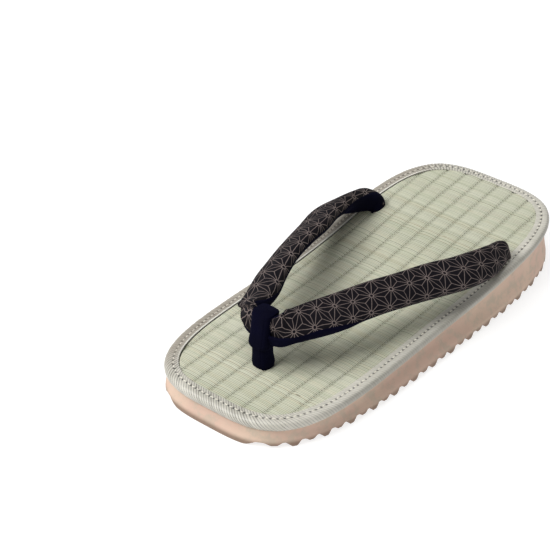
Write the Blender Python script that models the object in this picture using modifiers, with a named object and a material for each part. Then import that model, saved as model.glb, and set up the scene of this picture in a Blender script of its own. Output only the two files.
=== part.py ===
# Zori sandal: a wedge sole, a rush mat, an edge binding, padded straps and a toe loop.
# Metres, +Z up, toe towards -Y. The sandal stands on its ribs with the middle of its box over the origin.
import math

import bmesh
import bpy
from mathutils import Vector

# Driving dimensions of the mat, whose outline every other layer follows
MAT_LENGTH = 0.2400
TOE_HALF_WIDTH = 0.0527
WAIST_HALF_WIDTH = 0.0458
HEEL_HALF_WIDTH = 0.0548
OUTLINE_SQUARENESS = 3.65
MAT_THICKNESS = 0.0055
TOE_HEIGHT = 0.0150
HEEL_HEIGHT = 0.0317

# Driving dimensions of the sole and its tread
SOLE_TOE_REACH = 0.1283
SOLE_HEEL_REACH = 0.1312
SOLE_HALF_WIDTH = 0.0571
SOLE_HEEL_HALF_WIDTH = 0.0578
SOLE_SQUARENESS = 3.5
SOLE_RIM_OVERHANG = 0.0052
SOLE_LIP_HEIGHT = 0.0023
RIB_PITCH = 0.01645
RIB_HEIGHT = 0.0030
SHORT_RIB_DROP = 0.0009
RIB_FLAT = 0.0022
GROOVE_FLAT = 0.0012
FIRST_RIB = -0.11145
TOE_LIP_END = -0.1275

# Driving dimension of the binding
BINDING_OVERHANG = 0.0075

# Driving dimensions of the straps and the toe loop
STRAP_WIDTH = 0.0195
STRAP_THICKNESS = 0.0090
STRAP_SQUARENESS = 2.6
STRAP_RISE = 0.0246
JUNCTION_Y = -0.0842
JUNCTION_RISE = 0.0228
JUNCTION_HEIGHT = 0.0162
JUNCTION_THICKNESS = 0.0092
ANCHOR_X = 0.0436
ANCHOR_Y = 0.0645
ANCHOR_WIDTH = 0.0120
ANCHOR_THICKNESS = 0.0115
ANCHOR_DEPTH = 0.0060
LOOP_WIDTH = 0.0112
LOOP_WALL = 0.0020
LOOP_STEM = 0.0100
LOOP_FOOT = 0.0110
LOOP_DEPTH = 0.0090

# Gap between pieces that touch on the real sandal
CLEARANCE = 0.0003

# Points along each half outline, and around each strap section
STATIONS = 44
STRAP_RINGS = 46
STRAP_SIDES = 20
LOOP_SIDES = 24
FINE_STEPS = 720

# Share of a strap's length over which its direction is taken
DIRECTION_STEP = 0.002

# Rise of the mat's top from toe to heel: place along the mat, share of the whole rise
MAT_RISE = (
    {"along": 0.0, "rise": 0.000},
    {"along": 0.2, "rise": 0.045},
    {"along": 0.4, "rise": 0.120},
    {"along": 0.6, "rise": 0.285},
    {"along": 0.8, "rise": 0.670},
    {"along": 1.0, "rise": 1.000},
)

# Side wall of the sole above its lip: share of the height, how far it has flared to the outline.
# The last row is the foot of the lip, which turns in again down to the ground.
SOLE_WALL = (
    {"height": 1.00, "flare": 0.00},
    {"height": 0.80, "flare": 0.10},
    {"height": 0.56, "flare": 0.30},
    {"height": 0.32, "flare": 0.62},
    {"height": 0.13, "flare": 0.92},
    {"height": 0.00, "flare": 1.00},
    {"height": None, "flare": 0.97},
)

# Section of the binding: share of its overhang, share of the mat's thickness below the top
BINDING_SECTION = (
    {"out": 0.04, "drop": 0.00},
    {"out": 0.62, "drop": 0.00},
    {"out": 0.86, "drop": 0.05},
    {"out": 0.97, "drop": 0.18},
    {"out": 1.00, "drop": 0.38},
    {"out": 0.93, "drop": 0.72},
    {"out": 0.76, "drop": 1.00},
    {"out": 0.04, "drop": 1.00},
)

# Right strap from the junction to its anchor. run: share of the way back, out: share of the anchor's
# place to the side, lift: share of the strap's rise over the mat, width and thick: shares of the
# strap's own, lean: how far its face tips outwards from straight up, turn: how far that tip points
# to the toe (both in degrees)
STRAP_TABLE = (
    {"run": 0.022, "out": 0.268, "lift": 0.970, "width": 0.90, "thick": 1.10, "lean": 74, "turn": 58},
    {"run": 0.068, "out": 0.332, "lift": 1.005, "width": 0.95, "thick": 1.10, "lean": 42, "turn": 44},
    {"run": 0.137, "out": 0.412, "lift": 1.035, "width": 0.97, "thick": 1.04, "lean": 25, "turn": 32},
    {"run": 0.223, "out": 0.541, "lift": 1.045, "width": 0.99, "thick": 0.98, "lean": 29, "turn": 26},
    {"run": 0.344, "out": 0.685, "lift": 1.035, "width": 0.97, "thick": 0.92, "lean": 34, "turn": 16},
    {"run": 0.469, "out": 0.814, "lift": 0.960, "width": 0.98, "thick": 0.93, "lean": 32, "turn": 9},
    {"run": 0.600, "out": 0.935, "lift": 0.835, "width": 1.02, "thick": 0.99, "lean": 29, "turn": 5},
    {"run": 0.731, "out": 1.069, "lift": 0.700, "width": 1.00, "thick": 1.04, "lean": 30, "turn": 1},
    {"run": 0.850, "out": 1.110, "lift": 0.500, "width": 0.90, "thick": 1.06, "lean": 46, "turn": -10},
    {"run": 0.915, "out": 1.083, "lift": 0.365, "width": 0.78, "thick": 1.12, "lean": 62, "turn": -12},
    {"run": 0.955, "out": 1.052, "lift": 0.280, "width": 0.66, "thick": 1.22, "lean": 76, "turn": -8},
    {"run": 0.985, "out": 1.020, "lift": 0.170, "width": 0.62, "thick": 1.26, "lean": 86, "turn": -4},
)

# Stem of the toe loop: share of the height from its foot to the lower edge of the straps, share of
# the way its width has swollen from the stem to the foot
LOOP_STEM_TABLE = (
    {"up": 0.00, "swell": 0.0},
    {"up": 0.44, "swell": 0.6},
    {"up": 0.52, "swell": 1.0},
    {"up": 0.62, "swell": 0.7},
    {"up": 0.78, "swell": 0.1},
    {"up": 1.00, "swell": 0.0},
)

# Rounded head of the toe loop over the straps: shares of its height, width and depth
LOOP_HEAD_TABLE = (
    {"up": 0.00, "wide": 1.00, "deep": 1.00},
    {"up": 0.80, "wide": 1.00, "deep": 1.00},
    {"up": 0.93, "wide": 0.98, "deep": 0.90},
    {"up": 1.00, "wide": 0.70, "deep": 0.62},
)


def smooth_value(table, key, value_key, place):
    """Read one column of a table at a place between its rows, without overshoot."""
    places = [row[key] for row in table]
    values = [row[value_key] for row in table]
    if place <= places[0]:
        return values[0]
    if place >= places[-1]:
        return values[-1]
    slopes = []
    for low, high in zip(range(len(table) - 1), range(1, len(table))):
        slopes.append((values[high] - values[low]) / (places[high] - places[low]))
    tangents = [slopes[0]]
    for before, after in zip(slopes, slopes[1:]):
        same_way = before * after > 0
        tangents.append(2 * before * after / (before + after) if same_way else 0.0)
    tangents.append(slopes[-1])
    index = max(i for i, at in enumerate(places[:-1]) if at <= place)
    step = places[index + 1] - places[index]
    t = (place - places[index]) / step
    rest = 1 - t
    start = rest * rest * (1 + 2 * t) * values[index] + t * rest * rest * step * tangents[index]
    end = t * t * (3 - 2 * t) * values[index + 1] - t * t * rest * step * tangents[index + 1]
    return start + end


def mat_top(y):
    """Height of the mat's top at a place along the sandal."""
    share = smooth_value(MAT_RISE, "along", "rise", y / MAT_LENGTH + 0.5)
    return TOE_HEIGHT + (HEEL_HEIGHT - TOE_HEIGHT) * share


def mat_half_width(t):
    """Guide width of the mat at t, from -1 at the toe through 0 at the waist to 1 at the heel."""
    spread = (TOE_HALF_WIDTH + HEEL_HALF_WIDTH) / 2 - WAIST_HALF_WIDTH
    return WAIST_HALF_WIDTH + (HEEL_HALF_WIDTH - TOE_HALF_WIDTH) / 2 * t + spread * t * t


def sole_half_width(t):
    """Guide width of the bottom at t, from -1 at the toe to 1 at the heel."""
    return SOLE_HALF_WIDTH + (SOLE_HEEL_HALF_WIDTH - SOLE_HALF_WIDTH) * max(t, 0.0)


def half_outline(toe_reach, heel_reach, half_width, squareness):
    """Right half of a rounded outline, evenly spaced from the tip of the toe to the back."""
    fine = []
    for step in range(FINE_STEPS + 1):
        angle = math.pi * (step / FINE_STEPS - 0.5)
        sine = math.sin(angle)
        cosine = 0.0 if step in (0, FINE_STEPS) else math.cos(angle)
        t = math.copysign(abs(sine) ** (2 / squareness), sine)
        reach = heel_reach if t > 0 else toe_reach
        fine.append(Vector((half_width(t) * cosine ** (2 / squareness), t * reach)))
    lengths = [0.0]
    for before, after in zip(fine, fine[1:]):
        lengths.append(lengths[-1] + (after - before).length)
    points = []
    index = 0
    for station in range(STATIONS + 1):
        target = lengths[-1] * station / STATIONS
        while index < FINE_STEPS - 1 and lengths[index + 1] < target:
            index += 1
        share = (target - lengths[index]) / (lengths[index + 1] - lengths[index])
        points.append(fine[index].lerp(fine[index + 1], share))
    return points


def outward(points):
    """Outward directions of a half outline, straight ahead and straight back at its ends."""
    directions = [Vector((0.0, -1.0))]
    for before, after in zip(points, points[2:]):
        along = (after - before).normalized()
        directions.append(Vector((along.y, -along.x)))
    directions.append(Vector((0.0, 1.0)))
    return directions


MAT_OUTLINE = half_outline(MAT_LENGTH / 2, MAT_LENGTH / 2, mat_half_width, OUTLINE_SQUARENESS)
MAT_OUTWARD = outward(MAT_OUTLINE)
SOLE_OUTLINE = half_outline(SOLE_TOE_REACH, SOLE_HEEL_REACH, sole_half_width, SOLE_SQUARENESS)
SOLE_TOP_DROP = MAT_THICKNESS + CLEARANCE


def mat_ring(offset, drop):
    """Half ring around the mat, this far outside its outline and this far below its top."""
    ring = []
    for point, direction in zip(MAT_OUTLINE, MAT_OUTWARD):
        place = point + direction * offset
        ring.append(Vector((place.x, place.y, mat_top(place.y) - drop)))
    return ring


def sole_ring(height, flare):
    """Half ring of the sole's wall between its rim under the mat and its bottom outline.

    The height is a share of the wall above the lip, or None for the foot of the lip.
    """
    ring = []
    rim = mat_ring(SOLE_RIM_OVERHANG, SOLE_TOP_DROP)
    for top, bottom in zip(rim, SOLE_OUTLINE):
        x = top.x + (bottom.x - top.x) * flare
        y = top.y + (bottom.y - top.y) * flare
        z = 0.0 if height is None else SOLE_LIP_HEIGHT + (top.z - SOLE_LIP_HEIGHT) * height
        ring.append(Vector((x, y, z)))
    return ring


def new_collection(name):
    collection = bpy.data.collections.new(name)
    bpy.context.scene.collection.children.link(collection)
    return collection


def new_material(name, colour, roughness):
    material = bpy.data.materials.new(name)
    material.use_nodes = True
    shader = material.node_tree.nodes["Principled BSDF"]
    shader.inputs["Base Color"].default_value = (*colour, 1.0)
    shader.inputs["Roughness"].default_value = roughness
    shader.inputs["Metallic"].default_value = 0.0
    return material


def finish_object(name, bm, collection):
    """Make an object of a bmesh, shaded smooth up to its sharp edges."""
    bmesh.ops.recalc_face_normals(bm, faces=bm.faces)
    mesh = bpy.data.meshes.new(name)
    bm.to_mesh(mesh)
    bm.free()
    mesh.shade_smooth()
    mesh.set_sharp_from_angle(angle=math.radians(35))
    obj = bpy.data.objects.new(name, mesh)
    obj.location.y = (SOLE_TOE_REACH - SOLE_HEEL_REACH) / 2
    collection.objects.link(obj)
    return obj


def add_mirror(obj):
    """Complete a half that is open at the plane x = 0."""
    mirror = obj.modifiers.new("Both sides", "MIRROR")
    mirror.merge_threshold = 0.00001


def make_cutter(obj):
    obj.hide_render = True
    obj.display_type = "WIRE"


def cut(obj, cutter, name):
    boolean = obj.modifiers.new(name, "BOOLEAN")
    boolean.operation = "DIFFERENCE"
    boolean.solver = "EXACT"
    boolean.object = cutter


def skin(bm, rings, closed):
    """Join rings of points by quads, around each ring too where it is closed."""
    rows = [[bm.verts.new(point) for point in ring] for ring in rings]
    for low, high in zip(rows, rows[1:]):
        count = len(low) if closed else len(low) - 1
        for index in range(count):
            after = (index + 1) % len(low)
            bm.faces.new((low[index], low[after], high[after], high[index]))
    return rows


def cover_across(bm, row):
    """Cover a half ring with strips that run from its points to the plane x = 0."""
    middle = [row[0]]
    for vert in row[1:-1]:
        middle.append(bm.verts.new((0.0, vert.co.y, vert.co.z)))
    middle.append(row[-1])
    bm.faces.new((row[0], row[1], middle[1]))
    for index in range(1, len(row) - 2):
        bm.faces.new((row[index], row[index + 1], middle[index + 1], middle[index]))
    bm.faces.new((row[-2], row[-1], middle[-2]))


def make_sole(collection, cutters):
    """Wedge of foam with a hollow side wall and ribs across its bottom."""
    bm = bmesh.new()
    rings = [sole_ring(row["height"], row["flare"]) for row in SOLE_WALL]
    rows = skin(bm, rings, closed=False)
    cover_across(bm, rows[0])
    cover_across(bm, rows[-1])
    sole = finish_object("sole", bm, collection)
    sole.data.materials.append(new_material("foam rubber", (0.62, 0.44, 0.34), 0.75))
    add_mirror(sole)
    cut(sole, make_groove_cutter(cutters), "Grooves")
    return sole


def make_groove_cutter(cutters):
    """Wave that leaves a lip at the toe, then short and tall ribs in turn, each with a flat tip."""
    half_pitch = RIB_PITCH / 2
    foot = half_pitch / 2 - GROOVE_FLAT / 2
    reach = max(SOLE_TOE_REACH, SOLE_HEEL_REACH) + RIB_PITCH
    below = -RIB_HEIGHT
    lip_foot = TOE_LIP_END + foot - RIB_FLAT / 2
    profile = [(-reach, below), (-reach, 0.0), (TOE_LIP_END, 0.0), (lip_foot, RIB_HEIGHT)]
    number = -1
    while FIRST_RIB + number * half_pitch < SOLE_HEEL_REACH:
        middle = FIRST_RIB + number * half_pitch
        tip = SHORT_RIB_DROP if number % 2 else 0.0
        profile.append((middle - foot, RIB_HEIGHT))
        profile.append((middle - RIB_FLAT / 2, tip))
        profile.append((middle + RIB_FLAT / 2, tip))
        profile.append((middle + foot, RIB_HEIGHT))
        number += 1
    profile += [(reach, RIB_HEIGHT), (reach, below)]
    half_span = SOLE_HEEL_HALF_WIDTH + RIB_PITCH
    bm = bmesh.new()
    skin(bm, [[Vector((x, y, z)) for y, z in profile] for x in (-half_span, half_span)], closed=True)
    bmesh.ops.holes_fill(bm, edges=[edge for edge in bm.edges if edge.is_boundary], sides=0)
    cutter = finish_object("groove_cutter", bm, cutters)
    make_cutter(cutter)
    return cutter


def make_mat(collection):
    """Rush mat with its board, flat across and rising to the heel."""
    bm = bmesh.new()
    rows = skin(bm, [mat_ring(0.0, 0.0), mat_ring(0.0, MAT_THICKNESS)], closed=False)
    cover_across(bm, rows[0])
    cover_across(bm, rows[1])
    mat = finish_object("tatami_mat", bm, collection)
    mat.data.materials.append(new_material("rush", (0.60, 0.60, 0.44), 0.8))
    add_mirror(mat)
    return mat


def make_binding(collection):
    """Ribbon edge all round the mat, rounded over outside."""
    bm = bmesh.new()
    rings = []
    for row in BINDING_SECTION:
        rings.append(mat_ring(row["out"] * BINDING_OVERHANG, row["drop"] * MAT_THICKNESS))
    skin(bm, rings + rings[:1], closed=False)
    bmesh.ops.remove_doubles(bm, verts=bm.verts, dist=1e-7)
    binding = finish_object("edge_binding", bm, collection)
    binding.data.materials.append(new_material("ribbon", (0.50, 0.48, 0.40), 0.6))
    add_mirror(binding)
    return binding


def section_points(centre, across, face, width, thickness, sides):
    """Closed rounded section about a centre."""
    points = []
    power = 2 / STRAP_SQUARENESS
    for side in range(sides):
        angle = 2 * math.pi * side / sides
        wide = math.copysign(abs(math.cos(angle)) ** power, math.cos(angle)) * width / 2
        deep = math.copysign(abs(math.sin(angle)) ** power, math.sin(angle)) * thickness / 2
        points.append(centre + across * wide + face * deep)
    return points


def junction_z():
    return mat_top(JUNCTION_Y) + JUNCTION_RISE


def strap_rows():
    """Rows of the right strap in metres, from the plane x = 0 to the bottom of its pocket."""
    rows = []
    passage = LOOP_WIDTH / 2 + CLEARANCE
    for x in (0.0, passage):
        centre = Vector((x, JUNCTION_Y, junction_z()))
        rows.append((centre, JUNCTION_HEIGHT, JUNCTION_THICKNESS, 90.0, 90.0))
    for row in STRAP_TABLE:
        y = JUNCTION_Y + row["run"] * (ANCHOR_Y - JUNCTION_Y)
        z = mat_top(y) + row["lift"] * STRAP_RISE
        centre = Vector((row["out"] * ANCHOR_X, y, z))
        size = (row["width"] * STRAP_WIDTH, row["thick"] * STRAP_THICKNESS)
        rows.append((centre, *size, float(row["lean"]), float(row["turn"])))
    for lift in (0.0, -ANCHOR_DEPTH):
        centre = Vector((ANCHOR_X, ANCHOR_Y, mat_top(ANCHOR_Y) + lift))
        rows.append((centre, ANCHOR_WIDTH, ANCHOR_THICKNESS, 90.0, 0.0))
    return rows


def strap_stations():
    """The strap's rows as a table by their share of its length, with every length in metres."""
    rows = strap_rows()
    lengths = [0.0]
    for before, after in zip(rows, rows[1:]):
        lengths.append(lengths[-1] + (after[0] - before[0]).length)
    names = ("x", "y", "z", "width", "thick", "lean", "turn")
    table = []
    for length, (centre, *values) in zip(lengths, rows):
        entry = dict(zip(names, (*centre, *values)))
        entry["along"] = length / lengths[-1]
        table.append(entry)
    return table


def strap_frame(table, along):
    """Centre, width direction, face direction, width and thickness at a share of the strap."""
    def centre_at(share):
        return Vector([smooth_value(table, "along", key, share) for key in "xyz"])

    centre = centre_at(along)
    ahead = centre_at(min(along + DIRECTION_STEP, 1.0))
    tangent = ahead - centre_at(max(along - DIRECTION_STEP, 0.0))
    tangent.normalize()
    lean = math.radians(smooth_value(table, "along", "lean", along))
    turn = math.radians(smooth_value(table, "along", "turn", along))
    face = Vector((math.sin(lean) * math.cos(turn), -math.sin(lean) * math.sin(turn), math.cos(lean)))
    face = (face - tangent * face.dot(tangent)).normalized()
    across = tangent.cross(face)
    width = smooth_value(table, "along", "width", along)
    thickness = smooth_value(table, "along", "thick", along)
    return centre, across, face, width, thickness


def strap_rings(start, growth):
    """Sections of the right strap from a share of its length to its end, grown all round."""
    table = strap_stations()
    passage = table[1]["along"]
    places = [index / STRAP_RINGS for index in range(STRAP_RINGS + 1)]
    places.append(passage)
    rings = []
    for along in sorted(places):
        if along < start:
            continue
        centre, across, face, width, thickness = strap_frame(table, along)
        if along <= passage:
            across, face = Vector((0.0, 0.0, -1.0)), Vector((0.0, -1.0, 0.0))
        size = (width + 2 * growth, thickness + 2 * growth)
        rings.append(section_points(centre, across, face, *size, STRAP_SIDES))
    return rings


def make_straps(collection):
    """Both padded straps in one solid: the right one, and its mirror image joined at the front."""
    bm = bmesh.new()
    rows = skin(bm, strap_rings(0.0, 0.0), closed=True)
    bm.faces.new(rows[-1])
    straps = finish_object("strap_upper", bm, collection)
    straps.data.materials.append(new_material("printed cloth", (0.02, 0.016, 0.022), 0.85))
    add_mirror(straps)
    return straps


def make_strap_pocket(side, name, cutters):
    """Cutter for the pocket that a strap's end dives into, a clearance wider than the strap."""
    bend = strap_stations()[-4]["along"]
    rings = strap_rings(bend, CLEARANCE)
    rings.append([point - Vector((0.0, 0.0, CLEARANCE)) for point in rings[-1]])
    rings = [[Vector((side * point.x, point.y, point.z)) for point in ring] for ring in rings]
    return make_prism(name, rings, cutters)


def make_toe_loop(collection, cutters):
    """Stem between the toes whose head is looped round the joined straps."""
    straps_half = JUNCTION_HEIGHT / 2 + CLEARANCE
    foot_z = mat_top(JUNCTION_Y) - LOOP_DEPTH
    neck_z = junction_z() - straps_half - LOOP_WALL
    top_z = junction_z() + straps_half + LOOP_WALL
    head_depth = JUNCTION_THICKNESS + 2 * (CLEARANCE + LOOP_WALL)
    level, wide, deep = [], [], []
    for row in LOOP_STEM_TABLE:
        swell = LOOP_STEM + (LOOP_FOOT - LOOP_STEM) * row["swell"]
        level.append(foot_z + (neck_z - foot_z) * row["up"])
        wide.append(swell)
        deep.append(swell)
    for row in LOOP_HEAD_TABLE:
        low = neck_z + LOOP_WALL
        level.append(low + (top_z - low) * row["up"])
        wide.append(LOOP_WIDTH * row["wide"])
        deep.append(head_depth * row["deep"])
    rings = []
    for z, width, depth in zip(level, wide, deep):
        centre = Vector((0.0, JUNCTION_Y, z))
        rings.append(section_points(centre, Vector((1, 0, 0)), Vector((0, 1, 0)), width, depth, LOOP_SIDES))
    bm = bmesh.new()
    rows = skin(bm, rings, closed=True)
    bm.faces.new(rows[0])
    bm.faces.new(rows[-1])
    loop = finish_object("toe_loop", bm, collection)
    loop.data.materials.append(new_material("velvet", (0.006, 0.006, 0.02), 0.9))
    size = (JUNCTION_HEIGHT + 2 * CLEARANCE, JUNCTION_THICKNESS + 2 * CLEARANCE)
    rings = []
    for x in (-LOOP_WIDTH, LOOP_WIDTH):
        centre = Vector((x, JUNCTION_Y, junction_z()))
        rings.append(section_points(centre, Vector((0, 0, -1)), Vector((0, -1, 0)), *size, STRAP_SIDES))
    cut(loop, make_prism("strap_passage", rings, cutters), "Passage for the straps")
    return loop


def make_prism(name, rings, cutters):
    bm = bmesh.new()
    rows = skin(bm, rings, closed=True)
    bm.faces.new(rows[0])
    bm.faces.new(rows[-1])
    cutter = finish_object(name, bm, cutters)
    make_cutter(cutter)
    return cutter


def make_stem_pocket(cutters):
    """Cutter for the pocket that holds the foot of the toe loop."""
    size = LOOP_FOOT + 2 * CLEARANCE
    base = mat_top(JUNCTION_Y) - LOOP_DEPTH - CLEARANCE
    rings = []
    for z in (base, base + 2 * LOOP_DEPTH):
        centre = Vector((0.0, JUNCTION_Y, z))
        rings.append(section_points(centre, Vector((1, 0, 0)), Vector((0, 1, 0)), size, size, LOOP_SIDES))
    return make_prism("stem_pocket", rings, cutters)


def main():
    for obj in list(bpy.data.objects):
        bpy.data.objects.remove(obj, do_unlink=True)
    collection = new_collection("zori_sandal")
    cutters = new_collection("cutters")
    sole = make_sole(collection, cutters)
    mat = make_mat(collection)
    binding = make_binding(collection)
    make_straps(collection)
    make_toe_loop(collection, cutters)
    stem_pocket = make_stem_pocket(cutters)
    for piece in (sole, mat):
        cut(piece, stem_pocket, "Pocket for the toe loop")
    for side, word in ((1, "right"), (-1, "left")):
        pocket = make_strap_pocket(side, word + "_pocket", cutters)
        for piece in (sole, mat, binding):
            cut(piece, pocket, "Pocket for the " + word + " strap")


main()
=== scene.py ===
# Dresses the zori sandal over its frame: ribbed foam sole, woven rush mat, ribbon edge with its
# stitches, padded straps of hemp-leaf cloth lined with velvet, and a velvet toe loop.
import math

import bpy
import numpy as np
from bpy.props import FloatProperty, FloatVectorProperty, PointerProperty
from mathutils import Matrix


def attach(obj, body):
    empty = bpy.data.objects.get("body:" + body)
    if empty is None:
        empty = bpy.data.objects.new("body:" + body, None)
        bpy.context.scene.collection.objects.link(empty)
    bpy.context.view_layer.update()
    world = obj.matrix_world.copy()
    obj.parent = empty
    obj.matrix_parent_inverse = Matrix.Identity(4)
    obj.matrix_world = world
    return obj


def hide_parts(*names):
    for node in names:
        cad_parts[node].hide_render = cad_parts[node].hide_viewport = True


bl_info = {
    "name": "Zori Sandal",
    "version": (1, 0, 0),
    "blender": (4, 5, 0),
    "location": "View3D > Sidebar > Sandal",
    "description": "Makes the visible pieces of a zori sandal and a plain stage for it",
    "category": "Add Mesh",
}

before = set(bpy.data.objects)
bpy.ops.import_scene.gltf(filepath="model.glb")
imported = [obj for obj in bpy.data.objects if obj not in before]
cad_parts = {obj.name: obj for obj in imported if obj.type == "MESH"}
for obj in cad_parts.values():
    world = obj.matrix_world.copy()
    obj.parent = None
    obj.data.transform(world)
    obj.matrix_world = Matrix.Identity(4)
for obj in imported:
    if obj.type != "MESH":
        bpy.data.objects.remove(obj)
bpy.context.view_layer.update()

MM = 0.001

# Corners that are closer together than this are joined
JOINED = 0.000002

# Outline and rise of the mat, in metres with the toe towards -Y
MAT_LENGTH = 0.2400
TOE_HALF_WIDTH = 0.0527
WAIST_HALF_WIDTH = 0.0458
HEEL_HALF_WIDTH = 0.0548
OUTLINE_SQUARENESS = 3.65
MAT_THICKNESS = 0.0055
TOE_HEIGHT = 0.0150
HEEL_HEIGHT = 0.0317
RISE_PLACES = (0.0, 0.2, 0.4, 0.6, 0.8, 1.0)
RISE_SHARES = (0.000, 0.045, 0.120, 0.285, 0.670, 1.000)

# Weave of the mat: how far it reaches under the ribbon, where one warp thread lies across it, how deep
# the mat sinks there and how fast that fades
MAT_RIM = 0.0005
WARP_PLACE = -0.0069
GROOVE_DEPTH = 0.0007
GROOVE_FADE = 0.0019

# Sole and its tread
SOLE_TOE_REACH = 0.1283
SOLE_HEEL_REACH = 0.1312
SOLE_HALF_WIDTH = 0.0571
SOLE_HEEL_HALF_WIDTH = 0.0578
SOLE_SQUARENESS = 3.5
SOLE_RIM_OVERHANG = 0.0052
SOLE_LIP_HEIGHT = 0.0023
SOLE_TOP_DROP = 0.0058
RIB_PITCH = 0.01645
RIB_HEIGHT = 0.0030
SHORT_RIB_DROP = 0.0009
RIB_FLAT = 0.0022
GROOVE_FLAT = 0.0012
FIRST_RIB = -0.11145
TOE_LIP_END = -0.1275
TOE_LIP_OVERLAP = 0.0004
FLARE_HEIGHTS = (0.00, 0.13, 0.32, 0.56, 0.80, 1.00)
FLARE_SHARES = (1.00, 0.92, 0.62, 0.30, 0.10, 0.00)
SHORT_RIB_WEAR = 0.0005
RIB_ROUNDING = 0.0002
RIB_FULLNESS = 0.8
TREAD_STEP = 0.00042
TREAD_SINK = 0.00002

# Rounded lower edge of the sole: share of the flare and height
FOOT_ROWS = ((0.955, 0.0), (0.975, 0.0002), (0.990, 0.0007), (0.998, 0.0014))

# Straps and toe loop
STRAP_WIDTH = 0.0195
STRAP_THICKNESS = 0.0090
STRAP_SQUARENESS = 2.6
STRAP_RISE = 0.0246
JUNCTION_Y = -0.0842
JUNCTION_RISE = 0.0228
JUNCTION_HEIGHT = 0.0162
JUNCTION_THICKNESS = 0.0066
ANCHOR_X = 0.0436
ANCHOR_Y = 0.0645
ANCHOR_WIDTH = 0.0120
ANCHOR_THICKNESS = 0.0115
ANCHOR_DEPTH = 0.0060
LOOP_WIDTH = 0.0112
LOOP_WALL = 0.0020
LOOP_STEM = 0.0100
LOOP_FOOT = 0.0110
LOOP_DEPTH = 0.0090
LOOP_TOP_DROP = 0.0011
CLEARANCE = 0.0003

# Toe loop: share of the way up its stem and swell there, then share of the way up its head and shares
# of the width and depth there
STEM_ROWS = ((0.0, 0.0), (0.44, 0.6), (0.52, 1.0), (0.62, 0.7), (0.78, 0.1), (1.0, 0.0))
HEAD_ROWS = (
    (0.0, 1.08, 1.08), (0.13, 1.10, 1.12), (0.45, 1.03, 1.04), (0.75, 1.03, 1.02),
    (0.9, 1.07, 1.02), (0.97, 1.07, 0.99), (1.0, 1.03, 0.9),
)

# Pushed strands round a strap's rear end: radius in millimetres, first and last angle
PUSHED_STRANDS = ((6.7, 0, 80), (7.3, 22, 92))
STRAND_RADIUS = 0.00026

# Right strap from the junction to its anchor: share of the way back, share of the anchor's place to
# the side, share of the rise, shares of the width and thickness, lean outwards and turn to the toe
STRAP_ROWS = (
    (0.022, 0.268, 0.970, 0.90, 1.10, 74, 58),
    (0.068, 0.332, 1.005, 0.95, 1.10, 42, 44),
    (0.137, 0.412, 1.035, 0.97, 1.04, 25, 32),
    (0.223, 0.541, 1.045, 0.99, 0.98, 29, 26),
    (0.344, 0.685, 1.035, 0.97, 0.92, 34, 16),
    (0.469, 0.814, 0.960, 0.98, 0.93, 32, 9),
    (0.600, 0.935, 0.835, 1.02, 0.99, 29, 5),
    (0.731, 1.069, 0.700, 1.00, 1.04, 30, 1),
    (0.850, 1.110, 0.500, 0.90, 1.06, 46, -10),
    (0.915, 1.083, 0.365, 0.78, 1.12, 62, -12),
    (0.955, 1.052, 0.280, 0.66, 1.22, 76, -8),
    (0.985, 1.020, 0.170, 0.62, 1.26, 86, -4),
)

# The frame stands with the middle of its box over the origin
SHIFT_Y = (SOLE_TOE_REACH - SOLE_HEEL_REACH) / 2

# Section of the ribbon: how far outside the mat's outline and how far above its top, in millimetres
RIBBON_SECTION = (
    (-1.0, -1.5), (-0.25, -1.35), (-0.02, -0.8), (0.0, 0.0), (0.22, 0.36), (0.62, 0.34), (0.85, 0.2),
    (1.6, 0.24), (2.9, 0.2), (4.4, 0.2), (5.6, 0.02), (6.5, -0.34), (7.15, -1.0), (7.5, -2.0),
    (7.42, -3.0), (7.0, -4.1), (6.3, -5.0), (5.7, -5.55), (4.6, -5.75), (0.5, -5.75),
)

# Row of stitches: how far outside the mat's outline, how far over it, half the row's width, its depth,
# the depth of a needle hole, half its length, and what the near side adds to that
STITCH_OFFSET = 2.9 * MM
STITCH_RISE = 0.00022
STITCH_ROW_WIDTH = 0.00038
STITCH_ROW_DEPTH = 0.00016
HOLE_DEPTH = 0.00035
HOLE_REACH = 0.0008
NEAR_HOLE_REACH = 0.0005

# Ribs of the ribbon: how far from the toe's tip they stay strong, how much shorter that is on the near
# side, their slant on the sides and what the toe adds to it
RIB_STRETCH = 0.085
NEAR_RIB_LOSS = 0.025
SIDE_SLANT = 0.28
TOE_SLANT = 0.62

# How far the outer edge of the right strap stands out: place along it and distance, in millimetres,
# then the angle where that counts in full and how fast it fades round the strap
LOWER_EDGE = (
    (-20.0, 0.0), (0.0, 0.0), (4.0, -0.35), (8.0, -1.6), (12.0, -0.85), (16.0, -0.4), (20.0, 0.55),
    (24.0, 1.2), (28.0, 1.4), (32.0, 1.3), (36.0, 1.1), (40.0, 0.8), (45.0, 0.25), (50.0, 0.0),
    (180.0, 0.0),
)
LOWER_EDGE_ANGLE = -5.0
LOWER_EDGE_SPREAD = 48.0

# Where the lining of the right strap ends on its face: place along it in millimetres, and angle
LINING_EDGE = (
    (-20.0, 84.0), (1.0, 83.0), (3.0, 80.0), (6.2, 75.0), (9.0, 64.0), (13.4, 49.0), (18.3, 39.0),
    (24.0, 29.0), (30.5, 25.0), (36.3, 22.0), (43.0, 13.0), (60.0, 0.0), (85.0, -8.0), (165.0, -20.0),
)

# Crease where the left strap's cloth is folded under: place along it in millimetres at an angle, and
# how far it moves to the junction for each degree
CREASE_PLACE = 12.6
CREASE_ANGLE = 39.0
CREASE_SLOPE = 0.072

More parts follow.
